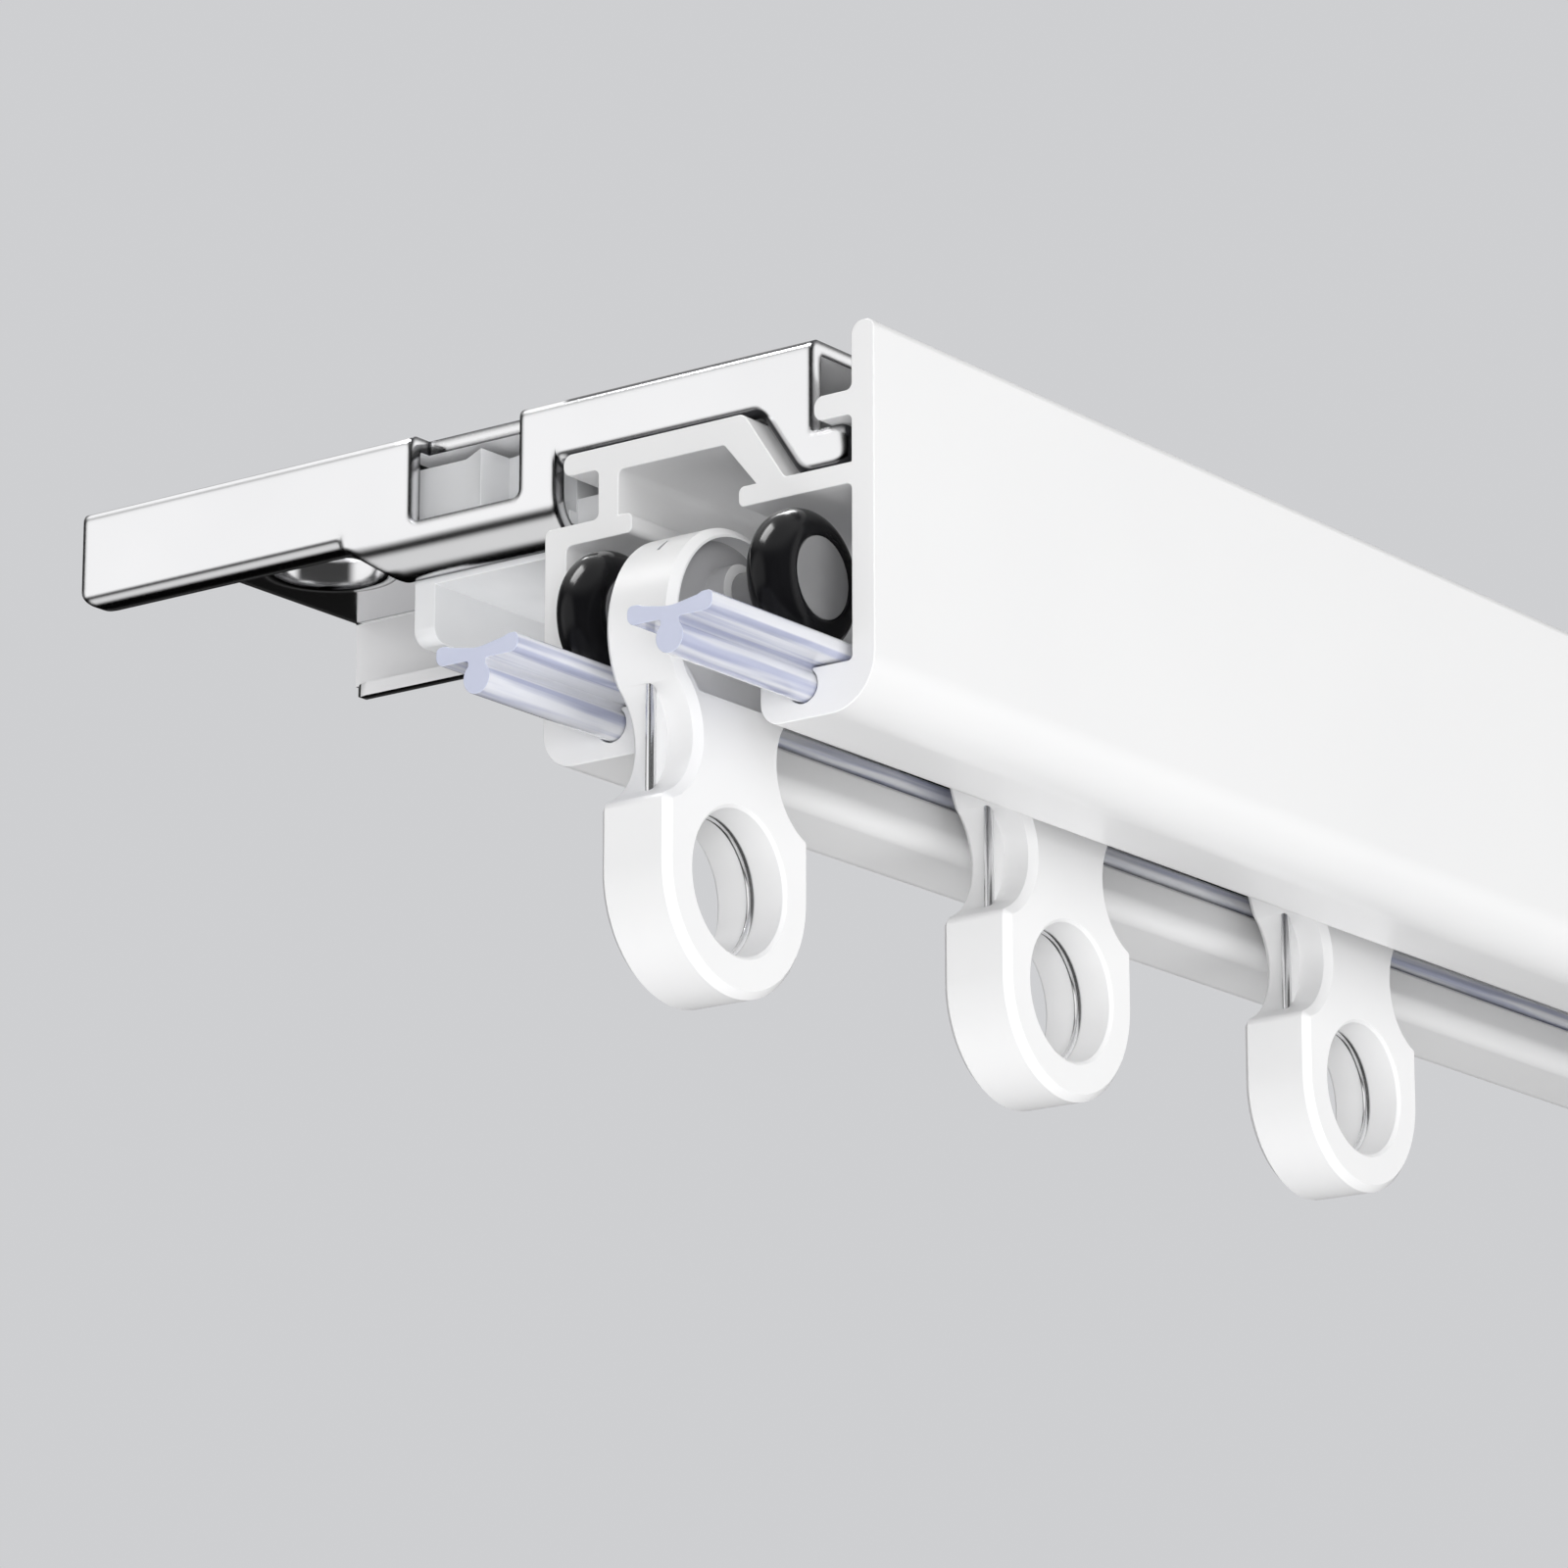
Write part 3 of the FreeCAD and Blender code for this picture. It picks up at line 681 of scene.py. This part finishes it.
studio = {
    "backdrop": (0.62, 0.625, 0.64),
    "lightColour": (1, 1, 1),
    "ambient": 0.41,
    "brightSides": (-0.8, 0.6, 0),
    "sideFade": (0.72, 0.93),
    "ceilingFade": (0.45, 0.75),
    "bandTop": (-0.33, -0.1),
    "lowPatch": (-0.45, 0.35, -0.82),
    "lowPatchFade": (0.84, 0.93),
    "lowLevel": 0.75,
    "gapLevel": 0.05,
    "brightLevel": 1.05,
    "bandLevel": 0.02,
}
floorSettings = {"drop": 1.3, "size": 3.0, "colour": (0.7, 0.7, 0.71, 1), "roughness": 0.8}
lamps = {
    "frontLamp": {"from": (-0.25, -1.0, 0.3), "distance": 1.0, "size": 0.8, "power": 3.6},
    "endLamp": {"from": (-1.0, 0.12, -0.05), "distance": 0.9, "size": 0.7, "power": 0.75},
    "viewLamp": {"from": (-0.8, -0.55, -0.2), "distance": 1.0, "size": 0.4, "power": 3.5},
    "lowLamp": {"from": (-0.3, -0.35, -1.0), "distance": 0.9, "size": 0.9, "power": 4.5},
    "backLamp": {"from": (0.5, 0.9, 0.9), "distance": 1.1, "size": 0.9, "power": 4.0},
    # the glint lamp shows in reflections only, the others light without showing
    "glintLamp": {
        "from": (-0.42, 0.28, 0.86),
        "distance": 0.9,
        "size": 0.4,
        "power": 8.0,
        "glossOnly": True,
    },
}


def addBackground(tree, colour, strength):
    node = tree.nodes.new("ShaderNodeBackground")
    feed(tree, colour, node.inputs["Color"])
    node.inputs["Strength"].default_value = strength
    return node


def mixShaders(tree, mask, first, second):
    node = tree.nodes.new("ShaderNodeMixShader")
    link(tree, mask, node.inputs["Fac"])
    link(tree, first.outputs[0], node.inputs[1])
    link(tree, second.outputs[0], node.inputs[2])
    return node


def buildWorld():
    # reflections see two bright sides, a bright ceiling, a dark band below and one low soft light
    world = bpy.data.worlds.new("paleStudio")
    scene.world = world
    world.use_nodes = True
    tree = world.node_tree
    tree.nodes.clear()
    output = tree.nodes.new("ShaderNodeOutputWorld")
    seen = addBackground(tree, studio["backdrop"], 1)
    lit = addBackground(tree, studio["lightColour"], studio["ambient"])
    reflected = addBackground(tree, studio["lightColour"], 1)
    direction = tree.nodes.new("ShaderNodeTexCoord").outputs["Generated"]
    height = splitVector(tree, direction)["Z"]
    across = addMath(tree, "ABSOLUTE", dotProduct(tree, direction, studio["brightSides"]))
    sides = fade(tree, across, *studio["sideFade"])
    ceiling = fade(tree, height, *studio["ceilingFade"])
    lights = addMath(tree, "MAXIMUM", sides, ceiling)
    level = spread(tree, lights, studio["gapLevel"], studio["brightLevel"])
    overBand = fade(tree, height, *studio["bandTop"])
    shade = spread(tree, overBand, studio["bandLevel"], 1)
    towardsPatch = dotProduct(tree, direction, studio["lowPatch"])
    patch = spread(tree, fade(tree, towardsPatch, *studio["lowPatchFade"]), 0, studio["lowLevel"])
    upper = addMath(tree, "MULTIPLY", level, shade)
    link(tree, addMath(tree, "MAXIMUM", upper, patch), reflected.inputs["Strength"])
    rays = tree.nodes.new("ShaderNodeLightPath").outputs
    direct = addMath(tree, "MAXIMUM", rays["Is Camera Ray"], rays["Is Transmission Ray"])
    unseen = mixShaders(tree, rays["Is Glossy Ray"], lit, reflected)
    background = mixShaders(tree, direct, unseen, seen)
    link(tree, background.outputs[0], output.inputs["Surface"])


def buildFloor():
    bm = bmesh.new()
    bmesh.ops.create_grid(bm, x_segments=1, y_segments=1, size=floorSettings["size"] / 2)
    bmesh.ops.translate(bm, verts=bm.verts, vec=(0, 0, -floorSettings["drop"]))
    mesh = bpy.data.meshes.new("paleFloor")
    bm.to_mesh(mesh)
    bm.free()
    floor = bpy.data.objects.new("paleFloor", mesh)
    scene.collection.objects.link(floor)
    material, tree, shader = newMaterial("paleFloorPaint")
    shader.inputs["Base Color"].default_value = floorSettings["colour"]
    shader.inputs["Roughness"].default_value = floorSettings["roughness"]
    mesh.materials.append(material)
    floor.visible_glossy = False


def buildLamp(name, settings):
    low, high = cadBox
    centre = (low + high) / 2
    towards = Vector(settings["from"]).normalized()
    data = bpy.data.lights.new(name, "AREA")
    data.shape = "SQUARE"
    data.size = settings["size"]
    data.energy = settings["power"]
    lamp = bpy.data.objects.new(name, data)
    glossOnly = settings.get("glossOnly", False)
    lamp.visible_glossy = glossOnly
    lamp.visible_diffuse = not glossOnly
    lamp.location = centre + towards * settings["distance"]
    lamp.rotation_euler = (-towards).to_track_quat("-Z", "Y").to_euler()
    scene.collection.objects.link(lamp)


buildWorld()
buildFloor()
for name, settings in lamps.items():
    buildLamp(name, settings)

# the camera's place and angles in degrees were found from the photograph's perspective
cameraSettings = {
    "place": Vector((-308.091, -265.232, -126.173)) * mm,
    "yaw": 36.655,
    "pitch": 15.202,
    "lens": 153.18,
    "sensor": 36,
    "near": 0.01,
    "far": 20,
}
yaw = math.radians(cameraSettings["yaw"])
pitch = math.radians(cameraSettings["pitch"])
level = math.cos(pitch)
aim = Vector((math.cos(yaw) * level, math.sin(yaw) * level, math.sin(pitch)))
cameraData = bpy.data.cameras.new("photoCamera")
cameraData.sensor_width = cameraSettings["sensor"]
cameraData.lens = cameraSettings["lens"]
cameraData.clip_start = cameraSettings["near"]
cameraData.clip_end = cameraSettings["far"]
camera = bpy.data.objects.new("photoCamera", cameraData)
camera.location = cameraSettings["place"]
camera.rotation_euler = aim.to_track_quat("-Z", "Y").to_euler()
scene.collection.objects.link(camera)
scene.camera = camera
scene.view_settings.view_transform = "Standard"
print("studio built")
